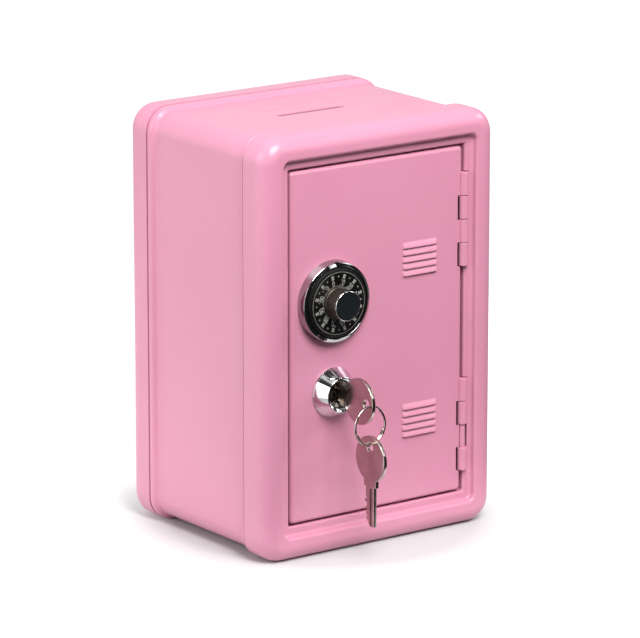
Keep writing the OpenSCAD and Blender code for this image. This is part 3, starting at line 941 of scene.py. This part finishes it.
def lock_plug():
    """The plug with a dished face, a lip around its keyway, and slots for the wafers."""
    plug_r, end = 5.7, -12
    face = [(0, 2.7), (3.2, 2.7), (3.5, 2.8), (5.2, 4.15), (5.4, 4.3), (5.55, 4.36), (plug_r, 4.25)]
    bm = lathe(face + [(plug_r, end), (0, end)], 96, closed=False)
    square_end = block((-3, -3, -14.6), (3, 3, end + 1))
    lip = block((-1.6, -3.6, 2), (1.6, 3.6, 3.2))
    bm = boolean(bm, [square_end, lip], "UNION")
    keyway = block((-1, -3, -10.8), (1, 3, 6))
    screw_hole = lathe([(0, -20), (1.6, -20), (1.6, -11.4), (0, -11.4)], 32)
    tools = [keyway, screw_hole]
    for h in WAFER_H:
        tools.append(block((-3.45, -10, h - 0.55), (3.45, 10, h + 0.55)))
        tools.append(block((3.2, -2.5, h - 0.7), (4.7, 2.5, h + 0.7)))
    bm = boolean(bm, tools)
    rim = [
        e for e in bm.edges
        if all(v.co.z > 2.9 and abs(v.co.x) < 1.7 for v in e.verts) and e.calc_face_angle(0) > 0.8
    ]
    soften(bm, rim, 0.12)
    finish_piece("lock_plug_body", moved(bm, LOCK.x, LOCK.y, DOOR_Z), "plug", ["lock_plug"], "plug_metal")


# ---------- keys ----------


def key_outline():
    """A key's rim, drawn along x with its shoulder at 0."""
    bow_r, neck, half, tip, ramp = 9.8, 4.2, 2.8, 17, 3.5
    edge, cut_half, cut_top = 0.3, 0.5, 0.7
    meet = math.degrees(math.asin(neck / bow_r))
    rim = arc(KEY_BOW_LEN - bow_r, 0, bow_r, meet - 180, 180 - meet, 48)
    rim += [(edge, neck), (0, neck - edge), (0, half)]
    rim += [(0.4 - tip, half), (-tip, half - 0.4), (-tip, 0), (ramp - tip, -half)]
    for h, depth in reversed(list(zip(WAFER_H, (0.5, 0.8, 0.4, 0.7)))):
        at = h - SHOULDER_H
        if at - cut_top - depth > ramp - tip:
            rim.append((at - cut_top - depth, -half))
        rim += [(at - cut_half, depth - half), (at + cut_half, depth - half), (at + cut_top + depth, -half)]
    rim += [(0, -half), (0, edge - neck), (edge, -neck)]
    return rim


def flat_key():
    """A key with a ring hole, cuts for the wafers, and a wide and a narrow groove on each face."""
    half_thick, above = 0.8, 1.5
    hole = arc(17.2, 0, 2.1, 0, 345, 23)
    bm = plate([key_outline(), hole], -half_thick, half_thick, 0.3)
    wide = (rounded_outline(9, 0.95, 0.3), 0.45, 0.05, (-9.5, 1.1))
    narrow = (rounded_outline(8.8, 0.22, 0.2), 0.25, 0.02, (-9.3, 0.5))
    tools = []
    for face in (-1, 1):
        for outline, floor, edge, at in (wide, narrow):
            near, far = sorted((face * floor, face * above))
            tools.append(moved(plate([outline], near, far, edge), *at))
    return boolean(bm, tools)


def quarter_turned(bm, *turns):
    """Turns a mesh by quarters about one axis after another."""
    for quarters, axis in turns:
        bm.transform(Matrix.Rotation(math.radians(90 * quarters), 4, axis))
    return bm


def keys():
    """The key in the lock, and the spare key that hangs on the ring."""
    upper = quarter_turned(flat_key(), (-1, "Y"))
    finish_piece("key_in_lock", moved(upper, LOCK.x, LOCK.y, DOOR_Z + SHOULDER_H), "key", ["key"], "nickel")
    spare = quarter_turned(flat_key(), (-1, "Y"), (2, "Z"), (-1, "X"))
    low, high = drawn_box("spare_key")
    at = (low.x + high.x) / 2, high.y - KEY_BOW_LEN, (low.z + high.z) / 2
    finish_piece("spare_key_blank", moved(spare, *at), "spare", ["spare_key"], "nickel")


def key_ring():
    """A split ring: one wire that winds round for nearly a turn and a half, and changes its layer once."""
    low, high = drawn_box("key_ring")
    wire_r, layer, ring_turn = 0.5, 0.9, 7
    r = (high.y - low.y) / 2 - wire_r
    spare_low, spare_high = drawn_box("spare_key")
    behind = 0.2
    middle_z = (spare_low.z + spare_high.z) / 2 - behind - layer / 2
    start, end, steps = 195, 195 + 510, 200
    change_at, change_len = 350, 65
    end_stray, end_len = 0.7, 9
    points = []
    for i in range(steps + 1):
        a = start + (end - start) * i / steps
        leave = min(1, max(0, (a - change_at) / change_len))
        lift = layer * (1 + math.cos(math.pi * leave)) / 2
        stray = end_stray * max(0, 1 - min(a - start, end - a) / end_len)
        turn = math.radians(a)
        points.append(((r + stray) * math.cos(turn), (r + stray) * math.sin(turn), lift))
    bm = wire(points, wire_r, 12)
    moved(bm, LOCK.x, (low.y + high.y) / 2, middle_z, turn=(ring_turn, "Y"))
    finish_piece("key_ring_wire", bm, "ring", ["key_ring"], "nickel", sharp=60)


# ---------- light, floor and camera, in metres and watts ----------

CAMERA_AZIMUTH = -36.29
CAMERA_ELEVATION = 14.23

# the room's light, where 1 is white: before and behind the safe, overhead, and in the window
ROOM_FRONT = 0.12
ROOM_BACK = 0.82
OVERHEAD = 0.05
WINDOW = 1.05
# what is left of it below the horizon, for diffuse light, and on the right
BELOW = 0.15
RIGHT = 0.35
# how much a black card in front takes away, for reflections, and the gap above the window
CARD_DARK = 0.85
GAP_DARK = 0.9
# what the camera itself sees of the room
SEEN = 1.1

# (name, place, size, power); all of them face the same point
SOFTBOXES = (
    ("front_box", (-0.14, -0.6, 0.8), (0.5, 0.5), 14),
    ("side_box", (-1.1, 0.12, 0.6), (0.6, 0.6), 4.2),
    ("fill_box", (0.9, -1.5, 0.9), (0.3, 0.5), 3),
    ("edge_box", (1.1, -0.36, 0.8), (0.6, 0.35), 5.5),
)
AIM = (0, 0.03, 0.09)


def table_top():
    """A small table top, square to the camera, whose glowing edges run into the white room."""
    left, right, front, back = -0.5, 0.085, -0.057, 0.42
    turn = Matrix.Rotation(math.radians(CAMERA_AZIMUTH), 4, "Z")
    corners = ((left, front, 0), (right, front, 0), (right, back, 0), (left, back, 0))
    bm = bmesh.new()
    bm.faces.new([bm.verts.new(turn @ Vector(corner)) for corner in corners])
    floor = to_object(bm, "floor")
    floor.data.materials.append(white_floor())


def sky():
    """A white room behind, dark in front, with a window on the left and a dark gap above it."""
    world = bpy.data.worlds.new("studio")
    bpy.context.scene.world = world
    world.use_nodes = True
    nodes, links = world.node_tree.nodes, world.node_tree.links
    split = nodes.new("ShaderNodeSeparateXYZ")
    links.new(nodes.new("ShaderNodeTexCoord").outputs["Generated"], split.inputs["Vector"])
    rays = nodes.new("ShaderNodeLightPath").outputs

    def fade(axis, start, end, low=0, high=1):
        """Runs softly from low to high as the direction's axis goes from start to end."""
        node = nodes.new("ShaderNodeMapRange")
        node.interpolation_type = "SMOOTHSTEP"
        for socket, value in (("From Min", start), ("From Max", end), ("To Min", low), ("To Max", high)):
            node.inputs[socket].default_value = value
        links.new(split.outputs[axis], node.inputs["Value"])
        return node.outputs["Result"]

    def combine(operation, *values):
        """Joins sockets or plain numbers, one after another, by one operation."""
        whole = values[0]
        for value in values[1:]:
            node = nodes.new("ShaderNodeMath")
            node.operation = operation
            for socket, source in zip(node.inputs, (whole, value)):
                if isinstance(source, (int, float)):
                    socket.default_value = source
                else:
                    links.new(source, socket)
            whole = node.outputs["Value"]
        return whole

    def darkened(value, *shares):
        """The value with a part of it taken away: all of the shares, multiplied together."""
        return combine("MULTIPLY", value, combine("SUBTRACT", 1, combine("MULTIPLY", *shares)))

    room = fade("Y", -0.4, 0.15, ROOM_FRONT, ROOM_BACK)
    room = darkened(room, rays["Is Diffuse Ray"], fade("Z", -0.6, -0.1, 1 - BELOW, 0))
    room = darkened(room, rays["Is Glossy Ray"], fade("Y", -0.45, 0.0, CARD_DARK, 0))
    room = combine("MULTIPLY", room, fade("X", 0.5, 0.8, 1, RIGHT))
    overhead = combine("MULTIPLY", fade("Z", 0.80, 0.92), OVERHEAD)
    window_height = combine("MULTIPLY", fade("Z", -0.36, -0.30), fade("Z", 0.52, 0.46))
    window = combine("MULTIPLY", fade("X", -0.5, -0.62), window_height, fade("Y", -0.7, -0.55), WINDOW)
    gap_height = combine("MULTIPLY", fade("Z", 0.48, 0.54), fade("Z", 0.88, 0.82))
    gap = combine("MULTIPLY", fade("X", 0.3, 0.1), gap_height, fade("Y", 0.5, 0.3))
    strength = darkened(combine("ADD", room, overhead, window), gap, GAP_DARK)
    seen = nodes.new("ShaderNodeMix")
    seen.data_type = "FLOAT"
    links.new(rays["Is Camera Ray"], seen.inputs["Factor"])
    links.new(strength, seen.inputs["A"])
    seen.inputs["B"].default_value = SEEN
    links.new(seen.outputs["Result"], nodes["Background"].inputs["Strength"])
    nodes["Background"].inputs["Color"].default_value = (1, 1, 1, 1)


def softbox(name, at, size, power):
    """A rectangular lamp that the camera doesn't see."""
    data = bpy.data.lights.new(name, "AREA")
    data.shape = "RECTANGLE"
    data.size, data.size_y = size
    data.energy = power
    lamp = bpy.data.objects.new(name, data)
    bpy.context.scene.collection.objects.link(lamp)
    lamp.location = at
    lamp.rotation_mode = "QUATERNION"
    lamp.rotation_quaternion = (Vector(AIM) - Vector(at)).to_track_quat("-Z", "Y")
    lamp.visible_camera = False


def camera():
    """A long lens from the front left, a little above the safe."""
    azimuth, elevation = math.radians(CAMERA_AZIMUTH), math.radians(CAMERA_ELEVATION)
    distance, target = 1.959, Vector((0.00275, 0.03613, 0.08728))
    level = math.cos(elevation)
    back = Vector((math.sin(azimuth) * level, -math.cos(azimuth) * level, math.sin(elevation)))
    data = bpy.data.cameras.new("camera")
    data.lens = 260.14
    data.sensor_width = 36
    data.clip_start, data.clip_end = 0.05, 50
    made = bpy.data.objects.new("camera", data)
    bpy.context.scene.collection.objects.link(made)
    made.location = target + back * distance
    made.rotation_mode = "QUATERNION"
    made.rotation_quaternion = (-back).to_track_quat("-Z", "Y")
    bpy.context.scene.camera = made


camera()
table_top()
sky()
for settings in SOFTBOXES:
    softbox(*settings)
bpy.context.scene.view_settings.view_transform = "Standard"

body_shell()
front_frame()
rear_cover()
hinge_pins()
door()
dial_bezel()
dial_disc()
dial_print()
dial_knob()
lock_housing()
lock_plug()
keys()
key_ring()
